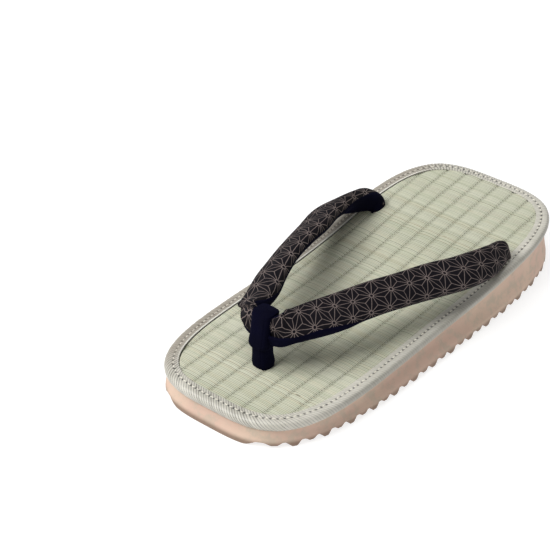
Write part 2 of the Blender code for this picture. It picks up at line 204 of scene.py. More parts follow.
# Folds of the right strap: how far they stand out, place along it and spread in millimetres, angle
# and spread in degrees. The first rows are measured from its rear end, the others from the junction
REAR_FOLDS = ((1.6, 12.5, 6.0, 8.0, 38.0), (1.7, 13.0, 4.2, 165.0, 26.0))
FRONT_FOLDS = (
    (-1.8, 1.0, 6.5, 78.0, 62.0), (-1.7, 8.4, 0.9, 148.0, 42.0),
    (1.0, 11.2, 1.9, 148.0, 42.0), (0.6, 6.4, 1.2, 148.0, 42.0),
)

# Folds of the left strap, measured from its crease
CREASE_FOLDS = ((1.0, 2.2, 4.0, 35.0, 45.0), (0.7, -3.5, 3.0, 60.0, 45.0))

# How the cloth is cut and drawn over each strap. Place along the strap in millimetres, steps of the
# pattern at its upper and lower row of leaves, and where these rows lie across the strap
CLOTH_RIGHT = (
    (-6.0, -2.30, -2.30, -13.0, -4.5),
    (1.6, -1.50, -1.50, -11.5, -2.8),
    (9.4, -0.72, -0.50, -8.2, 1.6),
    (19.4, 0.34, 0.50, -4.4, 6.2),
    (31.0, 1.58, 1.50, -1.4, 7.9),
    (45.0, 2.98, 2.83, -0.4, 7.9),
    (80.4, 5.99, 5.90, -0.4, 9.1),
    (112.0, 8.65, 8.50, -0.1, 9.7),
    (141.2, 11.00, 10.90, 1.8, 10.3),
    (165.0, 13.00, 12.90, 4.0, 11.5),
)
CLOTH_LEFT = (
    (4.0, -1.02, -1.14, -12.4, -1.2),
    (16.6, 0.00, -0.22, -11.6, 0.8),
    (28.0, 0.99, 0.66, -9.2, 2.6),
    (41.4, 2.00, 1.74, -9.2, 2.2),
    (54.3, 3.00, 2.65, -9.0, 2.6),
    (79.0, 5.00, 4.70, -8.8, 2.6),
    (103.0, 7.00, 6.80, -9.3, 1.5),
    (125.4, 9.00, 8.90, -10.8, 0.0),
    (137.3, 10.00, 10.00, -11.1, 0.0),
    (165.0, 12.30, 12.30, -11.0, 0.0),
)

# Soft square lights: name, place, size and power
LIGHTS = (
    ("key_light", (-0.4, -1.2, 1.25), 0.6, 16.0),
    ("side_light", (-0.95, -0.65, 1.2), 0.6, 9.5),
    ("top_light", (-0.1, -0.1, 1.5), 0.8, 7.0),
    ("fill_light", (1.5, -0.1, 0.55), 1.2, 3.2),
    ("back_light", (-0.3, 1.3, 1.0), 1.2, 3.0),
)

# Camera: place, lens and sensor in millimetres, and the rows of its turn
CAMERA_PLACE = (0.49245, -0.65863, 0.56688)
CAMERA_LENS = 118.42
CAMERA_SENSOR = 36.0
CAMERA_TURN = (
    (0.76314, -0.35532, 0.53979),
    (0.64624, 0.41938, -0.63757),
    (0.00016, 0.83539, 0.54966),
)


def linear(red, green, blue):
    """Scene colour of a display colour from 0 to 255."""
    shares = [value / 255 for value in (red, green, blue)]
    return tuple(s / 12.92 if s <= 0.04045 else ((s + 0.055) / 1.055) ** 2.4 for s in shares)


def length(name, description, default, low, high):
    """Length property in metres, with its default and its bounds."""
    return FloatProperty(
        name=name, description=description, default=default, min=low, max=high,
        precision=5, unit="LENGTH")


class SandalSizes(bpy.types.PropertyGroup):
    """Sizes that a maker of the sandal would change"""

    strand_pitch: length(
        "Rush strand", "Distance between two strands of the rush mat", 0.00105, 0.0006, 0.004)
    strand_relief: length(
        "Rush relief", "Height of a strand over the gap beside it", 0.00036, 0.0, 0.002)
    groove_pitch: length(
        "Warp spacing", "Distance between two warp threads of the mat", 0.01115, 0.004, 0.04)
    ribbon_ribs: length(
        "Ribbon rib", "Distance between two ribs of the edge ribbon", 0.00168, 0.0008, 0.006)
    ribbon_relief: length("Ribbon relief", "Height of a rib of the edge ribbon", 0.00032, 0.0, 0.001)
    stitch_pitch: length("Stitch", "Distance between two stitches along the edge", 0.00327, 0.002, 0.01)
    stitch_length: length("Stitch length", "Visible length of one stitch", 0.0023, 0.001, 0.008)
    thread: length("Thread", "Thickness of the sewing thread", 0.0006, 0.0002, 0.002)
    leaf_side: length("Hemp leaf", "Side of one triangle of the hemp-leaf pattern", 0.0116, 0.004, 0.04)
    leaf_line: length(
        "Hemp-leaf line", "Width of a line of the hemp-leaf pattern", 0.00033, 0.0001, 0.002)


def colour(name, description, red, green, blue):
    """Colour property of a finish, with its default as a display colour."""
    return FloatVectorProperty(
        name=name, description=description, subtype="COLOR", size=3, min=0.0, max=1.0,
        default=linear(red, green, blue))


class SandalColours(bpy.types.PropertyGroup):
    """Colours of the sandal's finishes and of the stage"""

    foam: colour("Foam", "Colour of the foam sole", 208, 182, 162)
    # Painted shade that the foam goes over to along the bottom of its wall and its tread
    foam_tread_shade: colour("Foam shade", "Colour of the painted shade on the tread edge of the sole", 128, 106, 90)
    rush: colour("Rush", "Main colour of the rush strands", 197, 198, 178)
    rush_green: colour("Green rush", "Colour of the greener strands", 174, 179, 152)
    rush_warm: colour("Warm rush", "Colour of the warmer strands", 200, 190, 162)
    # Colour of the darker strands, and of the painted shade deep between the strands
    rush_dark_strands_and_gap_shade: colour("Rush gap", "Colour deep between the strands", 62, 64, 42)
    ribbon: colour("Ribbon", "Colour of the ribs of the edge ribbon", 196, 192, 181)
    # Painted shade between the ribs of the ribbon and in its needle holes
    ribbon_gap_shade: colour("Ribbon gap", "Colour between the ribs of the edge ribbon", 52, 49, 42)
    thread: colour("Thread", "Colour of the sewing thread", 234, 230, 217)
    cloth: colour("Cloth", "Ground colour of the printed cloth", 14, 11, 17)
    leaf: colour("Hemp-leaf lines", "Colour of the lines of the pattern", 125, 113, 109)
    velvet: colour("Velvet", "Colour of the velvet", 5, 5, 22)
    floor: colour("Floor", "Colour of the floor", 160, 160, 159)


def read_table(places, values, at):
    """Values at places between the rows of a table, smooth and without overshoot."""
    places = np.asarray(places, dtype=float)
    values = np.asarray(values, dtype=float)
    slopes = np.diff(values) / np.diff(places)
    before, after = slopes[:-1], slopes[1:]
    same_way = before * after > 0
    total = np.where(same_way, before + after, 1.0)
    inner = np.where(same_way, 2 * before * after / total, 0)
    tangents = np.concatenate([slopes[:1], inner, slopes[-1:]])
    at = np.clip(at, places[0], places[-1])
    low = np.clip(np.searchsorted(places, at, side="right") - 1, 0, len(places) - 2)
    step = places[low + 1] - places[low]
    t = (at - places[low]) / step
    rest = 1 - t
    start = rest * rest * (1 + 2 * t) * values[low] + t * rest * rest * step * tangents[low]
    end = t * t * (3 - 2 * t) * values[low + 1] - t * t * rest * step * tangents[low + 1]
    return start + end


def read_rows(places, rows, at):
    """Rows at places between the rows of a table, smooth and without overshoot."""
    return np.stack([read_table(places, column, at) for column in rows.T], axis=1)


def smooth_step(low, high, value):
    """0 below low, 1 above high, and an even change between them."""
    t = np.clip((value - low) / (high - low), 0.0, 1.0)
    return t * t * (3 - 2 * t)


def hill(value, middle, spread):
    """1 at the middle, falling off on both sides."""
    return np.exp(-(((value - middle) / spread) ** 2))


def squared(wave, power):
    """Sines or cosines drawn towards a square, with their signs kept."""
    return np.sign(wave) * np.abs(wave) ** power


def mat_top(y):
    """Height of the mat's top at places along the sandal."""
    share = read_table(RISE_PLACES, RISE_SHARES, np.asarray(y) / MAT_LENGTH + 0.5)
    return TOE_HEIGHT + (HEEL_HEIGHT - TOE_HEIGHT) * share


def mat_half_width(t):
    """Guide width of the mat at t, from -1 at the toe through 0 at the waist to 1 at the heel."""
    spread = (TOE_HALF_WIDTH + HEEL_HALF_WIDTH) / 2 - WAIST_HALF_WIDTH
    return WAIST_HALF_WIDTH + (HEEL_HALF_WIDTH - TOE_HALF_WIDTH) / 2 * t + spread * t * t


def sole_half_width(t):
    """Guide width of the bottom at t, from -1 at the toe to 1 at the heel."""
    return SOLE_HALF_WIDTH + (SOLE_HEEL_HALF_WIDTH - SOLE_HALF_WIDTH) * np.maximum(t, 0.0)


def closed_outline(toe_reach, heel_reach, half_width, squareness, count):
    """Evenly spaced points of a rounded outline, their outward directions and their arc lengths.

    It starts at the tip of the toe, goes round by +X and back by -X.
    """
    angle = np.linspace(-math.pi / 2, math.pi / 2, 4001)
    sine = np.sin(angle)
    cosine = np.clip(np.cos(angle), 0.0, None)
    cosine[[0, -1]] = 0.0
    t = squared(sine, 2 / squareness)
    reach = np.where(t > 0, heel_reach, toe_reach)
    half = np.stack([half_width(t) * cosine ** (2 / squareness), t * reach], axis=1)
    loop = np.concatenate([half, half[-2:0:-1] * (-1.0, 1.0), half[:1]])
    lengths = arc_lengths(loop)
    arc = np.linspace(0.0, lengths[-1], count + 1)[:-1]
    points = along_line(loop, arc)
    ahead = np.roll(points, -1, axis=0) - np.roll(points, 1, axis=0)
    outward = unit(np.stack([ahead[:, 1], -ahead[:, 0]], axis=1))
    return points, outward, arc, lengths[-1]


def arc_lengths(points):
    """Length along a line of points, from its first to each."""
    steps = np.linalg.norm(np.diff(points, axis=0), axis=1)
    return np.concatenate([[0.0], np.cumsum(steps)])


def along_line(line, wanted):
    """Points of a flat line at distances along it."""
    lengths = arc_lengths(line)
    return np.stack([np.interp(wanted, lengths, line[:, axis]) for axis in (0, 1)], axis=1)


def unit(vectors):
    """Rows of vectors, each with a length of one."""
    return vectors / np.linalg.norm(vectors, axis=1, keepdims=True)


def mat_outline(count):
    """Outline of the mat as evenly spaced points."""
    return closed_outline(MAT_LENGTH / 2, MAT_LENGTH / 2, mat_half_width, OUTLINE_SQUARENESS, count)


def sole_outline(count):
    """Outline of the sole's bottom as evenly spaced points."""
    return closed_outline(SOLE_TOE_REACH, SOLE_HEEL_REACH, sole_half_width, SOLE_SQUARENESS, count)


def closed(points):
    """Rows with the first repeated after the last."""
    return np.concatenate([points, points[:1]])


def closed_both(sheet):
    """Sheet of rows whose first row and first column are repeated after the last."""
    sheet = closed(sheet)
    return np.concatenate([sheet, sheet[:, :1]], axis=1)


def pick(*pieces):
    """Select these pieces and nothing else, with the first of them active."""
    bpy.ops.object.select_all(action="DESELECT")
    for piece in pieces:
        piece.select_set(True)
    if pieces:
        bpy.context.view_layer.objects.active = pieces[0]


def carried_grid(name, points, uv=None):
    """Grid primitive whose corners are carried to the given rows of points, in metres."""
    rows, columns = points.shape[:2]
    pick()
    bpy.ops.mesh.primitive_grid_add(x_subdivisions=columns - 1, y_subdivisions=rows - 1, size=1.0)
    piece = bpy.context.object
    piece.name = name
    piece.data.name = name
    if len(piece.data.vertices) != rows * columns:
        raise RuntimeError(name + ": the grid has another number of corners than its places")
    places = points + np.array((0.0, SHIFT_Y, 0.0))
    piece.data.vertices.foreach_set("co", places.reshape(-1))
    if uv is not None:
        corners = np.empty(len(piece.data.loops), dtype=np.int32)
        piece.data.loops.foreach_get("vertex_index", corners)
        flat = uv.reshape(-1, 2)[corners]
        piece.data.uv_layers.active.data.foreach_set("uv", flat.reshape(-1))
    return piece


def paint(piece, name, values):
    """Point attribute that a material reads."""
    attribute = piece.data.attributes.new(name, "FLOAT", "POINT")
    attribute.data.foreach_set("value", np.asarray(values, dtype=np.float32).reshape(-1))


def face_outward():
    """Turn every face of the piece in edit mode outward, and leave that mode."""
    bpy.ops.mesh.select_all(action="SELECT")
    bpy.ops.mesh.normals_make_consistent(inside=False)
    bpy.ops.object.mode_set(mode="OBJECT")


def close_up(piece):
    """Join what meets at the seams and the poles, turn every face outward and shade it smooth."""
    pick(piece)
    bpy.ops.object.mode_set(mode="EDIT")
    bpy.ops.mesh.select_all(action="SELECT")
    bpy.ops.mesh.remove_doubles(threshold=JOINED)
    bpy.ops.mesh.dissolve_degenerate(threshold=JOINED / 10)
    face_outward()
    bpy.ops.object.shade_smooth()
    return piece


def dress(piece, material, nodes=()):
    """Give a piece its material and its place on the frame."""
    piece.data.materials.clear()
    piece.data.materials.append(material)
    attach(piece, "root")
    if nodes:
        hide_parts(*nodes)


class Finish:
    """Material that is built node by node round its shader."""

    def __init__(self, name):
        self.material = bpy.data.materials.new(name)
        self.material.use_nodes = True
        self.nodes = self.material.node_tree.nodes
        self.links = self.material.node_tree.links
        self.shader = self.nodes["Principled BSDF"]

    def put(self, socket, value):
        """Link a socket, or set it."""
        if isinstance(value, bpy.types.NodeSocket):
            self.links.new(value, socket)
        elif socket.type == "RGBA":
            socket.default_value = (*tuple(value)[:3], 1.0)
        else:
            socket.default_value = value

    def add(self, kind, inputs=None, **settings):
        """Node of a kind with its settings, and its inputs by name or number."""
        node = self.nodes.new("ShaderNode" + kind)
        for key, value in settings.items():
            setattr(node, key, value)
        for key, value in (inputs or {}).items():
            self.put(node.inputs[key], value)
        return node

    def math(self, operation, first, second=0.0, third=0.0):
        """Result of one operation on values or sockets."""
        node = self.add("Math", {0: first, 1: second, 2: third}, operation=operation)
        return node.outputs[0]

    def times(self, first, second):
        """Product of two values."""
        return self.math("MULTIPLY", first, second)

    def plus(self, first, second):
        """Sum of two values."""
        return self.math("ADD", first, second)

    def minus(self, first, second):
        """First value less the second."""
        return self.math("SUBTRACT", first, second)

    def far(self, first, second):
        """Distance whose parts at right angles are the two values."""
        squares = self.plus(self.times(first, first), self.times(second, second))
        return self.math("SQRT", squares)

    def mix(self, factor, first, second):
        """Colour between two."""
        node = self.add("Mix", data_type="RGBA")
        self.put(node.inputs[0], factor)
        self.put(node.inputs[6], first)
        self.put(node.inputs[7], second)
        return node.outputs[2]

    def ramp(self, value, low, high, start=0.0, end=1.0):
        """Even change of a value from start at low to end at high."""
        inputs = {0: value, 1: low, 2: high, 3: start, 4: end}
        return self.add("MapRange", inputs, interpolation_type="SMOOTHSTEP").outputs[0]

    def tint(self, base, mask, low, high, share, colour):
        """The base, going over to a colour by a share as the mask goes from low to high."""
        return self.mix(self.ramp(mask, low, high, 0.0, share), base, colour)

    def place(self):
        """Place in the object, in metres."""
        return self.add("TexCoord").outputs["Object"]

    def scaled(self, vector, scale):
        """A place times a scale for each direction."""
        node = self.add("VectorMath", {0: vector, 1: scale}, operation="MULTIPLY")
        return node.outputs[0]

    def split(self, vector):
        """The three parts of a vector."""
        return self.add("SeparateXYZ", {0: vector}).outputs

    def noise(self, vector, scale, detail, roughness):
        """Cloudy noise from 0 to 1."""
        inputs = {"Vector": vector, "Scale": scale, "Detail": detail, "Roughness": roughness}
        return self.add("TexNoise", inputs).outputs["Fac"]

    def random(self, value):
        """Even random number for each whole value."""
        return self.add("TexWhiteNoise", {"W": value}, noise_dimensions="1D").outputs["Value"]

    def attribute(self, name):
        """Value that was painted on the piece's points."""
        return self.add("Attribute", attribute_name=name).outputs["Fac"]

    def bump(self, height, distance, strength, under=None):
        """Normal for a height, on top of another normal if one is given."""
        inputs = {"Height": height, "Distance": distance, "Strength": strength}
        node = self.add("Bump", inputs)
        if under is not None:
            self.links.new(under, node.inputs["Normal"])
        return node.outputs["Normal"]

    def done(self, colour, roughness, normal=None, **sockets):
        """Feed the shader. Other sockets take even values, with their names in lower case."""
        self.put(self.shader.inputs["Base Color"], colour)
        self.put(self.shader.inputs["Roughness"], roughness)
        if normal is not None:
            self.links.new(normal, self.shader.inputs["Normal"])
        for key, value in sockets.items():
            name = key.replace("_", " ").title().replace("Ior", "IOR")
            self.put(self.shader.inputs[name], value)
        return self.material


def foam_finish(colours):
    """Matt foam, mottled in pink and grey, with painted shade along the tread."""
    f = Finish("foam rubber")
    place = f.place()
    height = f.split(place)[2]
    cloud = f.noise(place, 26.0, 3.0, 0.6)
    spots = f.noise(place, 150.0, 3.0, 0.65)
    fine = f.noise(place, 900.0, 3.0, 0.7)
    base = f.tint(colours.foam, cloud, 0.42, 0.62, 0.45, (0.58, 0.38, 0.31))
    base = f.tint(base, spots, 0.46, 0.68, 0.42, (0.39, 0.38, 0.30))
    # Painted shade: darker towards the bottom of the wall and along the tread
    edge = f.ramp(height, 0.0016, 0.0044, 1.0, 0.0)
    base = f.mix(f.times(edge, 0.9), base, colours.foam_tread_shade)
    normal = f.bump(fine, 0.00012, 0.6)
    normal = f.bump(spots, 0.0004, 0.35, normal)
    rough = f.ramp(spots, 0.3, 0.7, 0.62, 0.78)
    return f.done(base, rough, normal, specular_ior_level=0.35)


def rush_finish(colours, sizes):
    """Dry rush, each strand with its own colour and streaks, with painted shade in the gaps."""
    f = Finish("rush")
    place = f.place()
    x, y = f.split(place)[:2]
    strand = f.math("FLOOR", f.math("DIVIDE", f.plus(y, 0.2), sizes.strand_pitch))
    own = f.random(strand)
    other = f.random(f.plus(strand, 411.5))
    run = f.add("CombineXYZ", {0: f.times(x, 60.0), 1: f.times(strand, 3.7)})
    streak = f.noise(run.outputs[0], 1.0, 3.0, 0.6)
    hair = f.noise(f.scaled(place, (300.0, 5200.0, 900.0)), 1.0, 2.0, 0.6)
    cloud = f.noise(place, 22.0, 2.0, 0.5)
    base = f.tint(colours.rush, own, 0.3, 1.0, 0.5, colours.rush_green)
    base = f.tint(base, other, 0.6, 1.0, 0.35, colours.rush_warm)
    base = f.tint(base, streak, 0.5, 0.75, 0.4, colours.rush_warm)
    base = f.tint(base, cloud, 0.42, 0.7, 0.2, colours.rush_green)
    dark = f.times(f.ramp(streak, 0.66, 0.74), f.ramp(other, 0.80, 0.84))
    base = f.mix(f.times(dark, 0.55), base, colours.rush_dark_strands_and_gap_shade)
    base = f.tint(base, hair, 0.35, 0.75, 0.16, (0.80, 0.80, 0.68))
    # Painted shade between the strands and beside the grooves, read from the depth attribute
    gap = f.attribute("depth")
    base = f.tint(base, gap, 0.1, 1.0, 0.9, colours.rush_dark_strands_and_gap_shade)
    normal = f.bump(hair, 0.0001, 0.7)
    return f.done(base, 0.6, normal, specular_ior_level=0.4)


def ribbon_finish(colours):
    """Silky grey-green ribbon with a pale far selvedge; painted shade between ribs, in holes, by the mat
    and on the far side.
    """
    f = Finish("ribbon")
    place = f.place()
    x = f.split(place)[0]
    uv = f.split(f.add("UVMap").outputs[0])
    warp = f.add("CombineXYZ", {0: f.times(uv[0], 1500.0), 1: f.times(uv[1], 120.0)})
    thread = f.noise(warp.outputs[0], 1.0, 2.0, 0.6)
    cloud = f.noise(place, 40.0, 3.0, 0.6)
    base = f.tint(colours.ribbon, cloud, 0.35, 0.7, 0.5, (0.38, 0.37, 0.30))
    base = f.tint(base, thread, 0.35, 0.7, 0.4, (0.72, 0.70, 0.63))
    # Painted shade between the ribs, in the needle holes, where the near side turns down and on the
    # underside, from the depth attribute
    gap = f.attribute("depth")
    base = f.tint(base, gap, 0.15, 0.95, 0.95, colours.ribbon_gap_shade)
    # Painted shade: the far side of the ribbon is drawn darker
    far = f.ramp(x, -0.047, -0.030, 1.0, 0.0)
    base = f.mix(f.times(far, 0.6), base, (0.25, 0.21, 0.165))
    selvedge = f.times(f.attribute("selvedge"), far)
    base = f.mix(selvedge, base, (0.86, 0.85, 0.78))
    # Painted shade, near black, where the ribbon dips beside the mat and in the needle holes
    base = f.mix(f.attribute("hollow"), base, (0.012, 0.014, 0.010))
    normal = f.bump(thread, 0.00006, 0.8)
    rough = f.ramp(thread, 0.3, 0.7, 0.36, 0.5)
    return f.done(base, rough, normal, specular_ior_level=0.6, sheen_weight=0.15, sheen_roughness=0.4)


def thread_finish(colours):
    """Twisted cotton thread."""
    f = Finish("thread")
    twist = f.noise(f.place(), 2600.0, 1.0, 0.5)
    base = f.tint(colours.thread, twist, 0.35, 0.7, 0.35, (0.52, 0.49, 0.42))
    return f.done(base, 0.65, f.bump(twist, 0.0001, 0.6), specular_ior_level=0.3)


def leaf_distance(f, u, v, side):
    """Distance to the nearest line of the hemp-leaf pattern and to the nearest of its centres."""
    row = side * math.sqrt(3) / 2
    nearest = None
    centre = None
    for degrees in (0, 60, 120):
        c = math.cos(math.radians(degrees))
        s = math.sin(math.radians(degrees))
        ahead = f.plus(f.times(u, c), f.times(v, s))
        across = f.plus(f.times(u, -s), f.times(v, c))
        edge = f.math("ABSOLUTE", f.math("WRAP", across, row / 2, -row / 2))
        column = f.math("ROUND", f.math("DIVIDE", ahead, side / 2))
        beside = f.minus(ahead, f.times(column, side / 2))
        odd = f.math("FLOORED_MODULO", column, 2.0)
        along = f.minus(across, f.times(odd, row))
        along = f.math("ABSOLUTE", f.math("WRAP", along, row, -row))
        past = f.math("MAXIMUM", f.minus(along, side / math.sqrt(3)), 0.0)
        found = f.math("MINIMUM", edge, f.far(beside, past))
        nearest = found if nearest is None else f.math("MINIMUM", nearest, found)
        if centre is None:
            centre = f.far(beside, along)
    return nearest, centre


def cloth_finish(colours, sizes):
    """Dark cotton printed with the hemp-leaf pattern. Its UV map is in metres of cloth."""
    f = Finish("printed cloth")
    uv = f.add("UVMap").outputs[0]
    u, v = f.split(uv)[:2]
    wobble = f.noise(f.scaled(uv, (420.0, 420.0, 1.0)), 1.0, 2.0, 0.5)
    wobble = f.times(f.minus(wobble, 0.5), 0.0005)
    nearest, centre = leaf_distance(f, f.plus(u, wobble), f.minus(v, wobble), sizes.leaf_side)
    half = sizes.leaf_line / 2
    line = f.ramp(nearest, half * 0.45, half * 1.5, 1.0, 0.0)
    ring = f.ramp(f.math("ABSOLUTE", f.minus(centre, 0.00105)), 0.0001, 0.00036, 1.0, 0.0)
    dot = f.ramp(centre, 0.00065, 0.00095, 1.0, 0.0)
    line = f.math("MAXIMUM", line, ring)
    line = f.times(line, f.minus(1.0, dot))
    waves = [f.math("SINE", f.times(way, 2 * math.pi / 0.00042)) for way in (u, v)]
    weave = f.times(*waves)
    grain = f.noise(f.scaled(uv, (2600.0, 2600.0, 1.0)), 1.0, 2.0, 0.6)
    cloud = f.noise(f.place(), 60.0, 2.0, 0.5)
    fade = f.times(f.ramp(grain, 0.2, 0.6, 0.55, 1.0), f.ramp(cloud, 0.3, 0.7, 0.8, 1.0))
    base = f.tint(colours.cloth, grain, 0.4, 0.7, 0.5, (0.0045, 0.0035, 0.0055))
    base = f.mix(f.times(line, fade), base, colours.leaf)
    height = f.plus(f.times(weave, 0.35), grain)
    normal = f.bump(height, 0.00008, 0.6)
    return f.done(base, 0.85, normal, specular_ior_level=0.12)


def velvet_finish(colours):
    """Deep velvet whose pile catches the light at its edges."""
    f = Finish("velvet pile")
    pile = f.noise(f.place(), 2200.0, 2.0, 0.7)
    brushed = f.noise(f.place(), 90.0, 2.0, 0.5)
    base = f.tint(colours.velvet, brushed, 0.35, 0.7, 0.6, (0.0015, 0.0015, 0.012))
    normal = f.bump(pile, 0.0002, 0.8)
    return f.done(
        base, 0.9, normal, specular_ior_level=0.05,
        sheen_weight=0.06, sheen_roughness=0.3, sheen_tint=(0.08, 0.09, 0.42, 1.0))


def sole_surface(count):
    """Rows of the sole from the middle of its bottom up the wall to the middle of its top."""
    points, outward = mat_outline(count)[:2]
    top = points + outward * SOLE_RIM_OVERHANG
    top_z = mat_top(top[:, 1]) - SOLE_TOP_DROP
    bottom = sole_outline(count)[0]
    rows = []

    def ring(flare, z):
        """Add a row round the sole at a share of the flare and a height."""
        place = top + (bottom - top) * flare
        rows.append(np.column_stack([place, z]))

    foot = top + (bottom - top) * FOOT_ROWS[0][0]
    rows.append(np.column_stack([foot[:, 0] * 0.0, foot[:, 1], np.zeros(count)]))
    for flare, z in FOOT_ROWS:
        ring(flare, np.full(count, z))
    for height in np.linspace(0.0, 1.0, 34):
        flare = float(read_table(FLARE_HEIGHTS, FLARE_SHARES, height))
        ring(flare, SOLE_LIP_HEIGHT + (top_z - SOLE_LIP_HEIGHT) * height)
    rows.append(rows[-1] * (0.0, 1.0, 1.0))
    return np.stack(rows)


def tread_height(y):
    """Height of the tread's wave at places along the sole: short and tall ribs in turn."""
    half_pitch = RIB_PITCH / 2
    number = np.round((y - FIRST_RIB) / half_pitch)
    tip = np.where(np.mod(number, 2) == 1, SHORT_RIB_DROP + SHORT_RIB_WEAR, 0.0)
    beside = np.abs(y - FIRST_RIB - number * half_pitch)
    rise = smooth_step(RIB_FLAT / 2 - RIB_ROUNDING, half_pitch / 2 - GROOVE_FLAT / 2, beside)
    wave = tip + (RIB_HEIGHT - tip) * rise ** RIB_FULLNESS
    return np.where(y < TOE_LIP_END + TOE_LIP_OVERLAP, 0.0, wave)


def tread_cutter():
    """Bar across the sole whose upper side is the tread's wave."""
    reach = max(SOLE_TOE_REACH, SOLE_HEEL_REACH) + RIB_PITCH / 2
    y = np.arange(-reach, reach, TREAD_STEP)
    z = tread_height(y)
    below = -RIB_HEIGHT
    profile = [(-reach, below)] + list(zip(y, z)) + [(y[-1], below)]
    half_span = SOLE_HEEL_HALF_WIDTH + RIB_PITCH
    pick()
    bpy.ops.mesh.primitive_circle_add(vertices=len(profile), radius=1.0, fill_type="NGON")
    cutter = bpy.context.object
    places = np.array([(-half_span, py + SHIFT_Y, pz - TREAD_SINK) for py, pz in profile])
    cutter.data.vertices.foreach_set("co", places.reshape(-1))
    bpy.ops.object.mode_set(mode="EDIT")
    bpy.ops.mesh.select_all(action="SELECT")
    bpy.ops.mesh.extrude_region_move(TRANSFORM_OT_translate={"value": (2 * half_span, 0.0, 0.0)})
    face_outward()
    return cutter


class SANDAL_OT_sole(bpy.types.Operator):
    """Make the foam sole with its flared wall and the ribs of its tread"""

    bl_idname = "sandal.sole"
    bl_label = "Foam sole"

    def execute(self, context):
        rows = sole_surface(480)
        points = np.concatenate([rows, rows[:, :1]], axis=1)
        sole = close_up(carried_grid("foam_sole", points))
        cutter = tread_cutter()
        boolean = sole.modifiers.new("Tread", "BOOLEAN")
        boolean.operation = "DIFFERENCE"
        boolean.solver = "EXACT"
        boolean.object = cutter
        pick(sole)
        bpy.ops.object.modifier_apply(modifier=boolean.name)
        bpy.data.objects.remove(cutter, do_unlink=True)
        bpy.ops.object.shade_smooth_by_angle(angle=math.radians(40))
        dress(sole, foam_finish(context.scene.sandal_colours), ["sole"])
        return {"FINISHED"}


class SANDAL_OT_mat(bpy.types.Operator):
    """Make the woven rush mat, strand by strand"""

    bl_idname = "sandal.mat"
    bl_label = "Rush mat"

    def execute(self, context):
        sizes = context.scene.sandal_sizes
        rng = np.random.default_rng(11)
        count = int(round((MAT_LENGTH + 2 * MAT_RIM) / sizes.strand_pitch))
        pitch = (MAT_LENGTH + 2 * MAT_RIM) / count
        third = np.arange(count * 3 + 1)
        y = -MAT_LENGTH / 2 - MAT_RIM + third * pitch / 3
        phase = third % 3
        crest = np.choose(phase, (0.0, 0.95, 0.95))
        strand = np.minimum(third // 3, count - 1)
        thick = rng.uniform(0.86, 1.12, count)[strand]
        lift = rng.normal(0.0, 0.05, count)[strand]
        jitter = rng.normal(0.0, 0.06, count)[strand] * pitch * (phase != 0)
        outline, outward = mat_outline(4000)[:2]
        rim = outline + outward * MAT_RIM
        right = rim[: len(rim) // 2 + 1]
        half = np.interp(y, right[:, 1], right[:, 0])
        half[[0, -1]] = 0.0
        columns = self.columns(sizes, HEEL_HALF_WIDTH + MAT_RIM)
        x = np.clip(columns[None, :], 0.0012 - half[:, None], half[:, None])
        x = np.where(half[:, None] < 0.0013, 0.0, x)
        groove, side, valley, shade = self.grooves(sizes, columns)
        parity = np.where(strand % 2 == 0, 1.0, -1.0)[:, None]
        dip = groove[None, :] * (0.5 + 0.3 * parity * side[None, :])
        sway = 0.06 * np.sin(x / 0.021 + strand[:, None] * 2.1)
        sway = sway + 0.05 * np.sin(x / 0.0083 + strand[:, None] * 4.7)
        body = crest[:, None] * (thick[:, None] + lift[:, None] + sway) - 0.62
        height = body * sizes.strand_relief - dip * sizes.strand_relief * 0.9
        top = mat_top(y)[:, None] + height - valley[None, :] * GROOVE_DEPTH
        places = np.stack([x, np.broadcast_to((y + jitter)[:, None], x.shape), top], axis=2)
        # Painted shade for the rush colour: deep between the strands, more at the grooves and in a soft
        # band beside them
        gap = rng.uniform(0.55, 0.95, count)[strand][:, None]
        depth = (1 - crest[:, None]) * (gap + (1 - gap) * groove[None, :] * (0.45 + 0.4 * parity))
        depth = np.clip(depth + 0.15 * dip + shade[None, :], 0.0, 1.0)
        under = mat_top(y) - MAT_THICKNESS
        left = np.stack([x[:, 0], y, under], axis=1)
        middle = np.stack([0 * half, y, under], axis=1)
        far = np.stack([half, y, under], axis=1)
        parts = [middle[:, None], left[:, None], places, far[:, None], middle[:, None]]
        surface = np.concatenate(parts, axis=1)
        # The mat's edges and underside take the full painted shade
        ones = np.ones((len(y), 1))
        depth = np.concatenate([ones, ones, depth, ones, ones], axis=1)
        mat = carried_grid("rush_mat", surface)
        paint(mat, "depth", depth)
        close_up(mat)
        dress(mat, rush_finish(context.scene.sandal_colours, sizes), ["tatami_mat"])
        return {"FINISHED"}

    def columns(self, sizes, reach):
        """Places of the columns across the mat: eight at every groove and three between."""
        grooves = np.arange(-5, 6) * sizes.groove_pitch + WARP_PLACE
        near = [grooves + step * MM for step in (-2.1, -1.2, -0.6, -0.2, 0.2, 0.6, 1.2, 2.1)]
        between = [grooves + sizes.groove_pitch * share for share in (0.32, 0.5, 0.68)]
        places = np.unique(np.round(np.concatenate(near + between), 6))
        places = places[np.abs(places) < reach]
        return np.concatenate([[-reach], places, [reach]])

    def grooves(self, sizes, columns):
        """Nearness of each column to a groove, its side, and the mat's sinking and shade there."""
        beside = np.mod(columns - WARP_PLACE + sizes.groove_pitch / 2, sizes.groove_pitch)
        beside = beside - sizes.groove_pitch / 2
        distance = np.abs(beside)
        valley = np.exp(-distance / GROOVE_FADE)
        shade = 0.28 * hill(beside, 0.0005, 0.0012) - 0.05
        groove = 1 - smooth_step(0.0003, 0.0013, distance)
        return groove, np.where(beside > 0, 1.0, -1.0), valley, shade


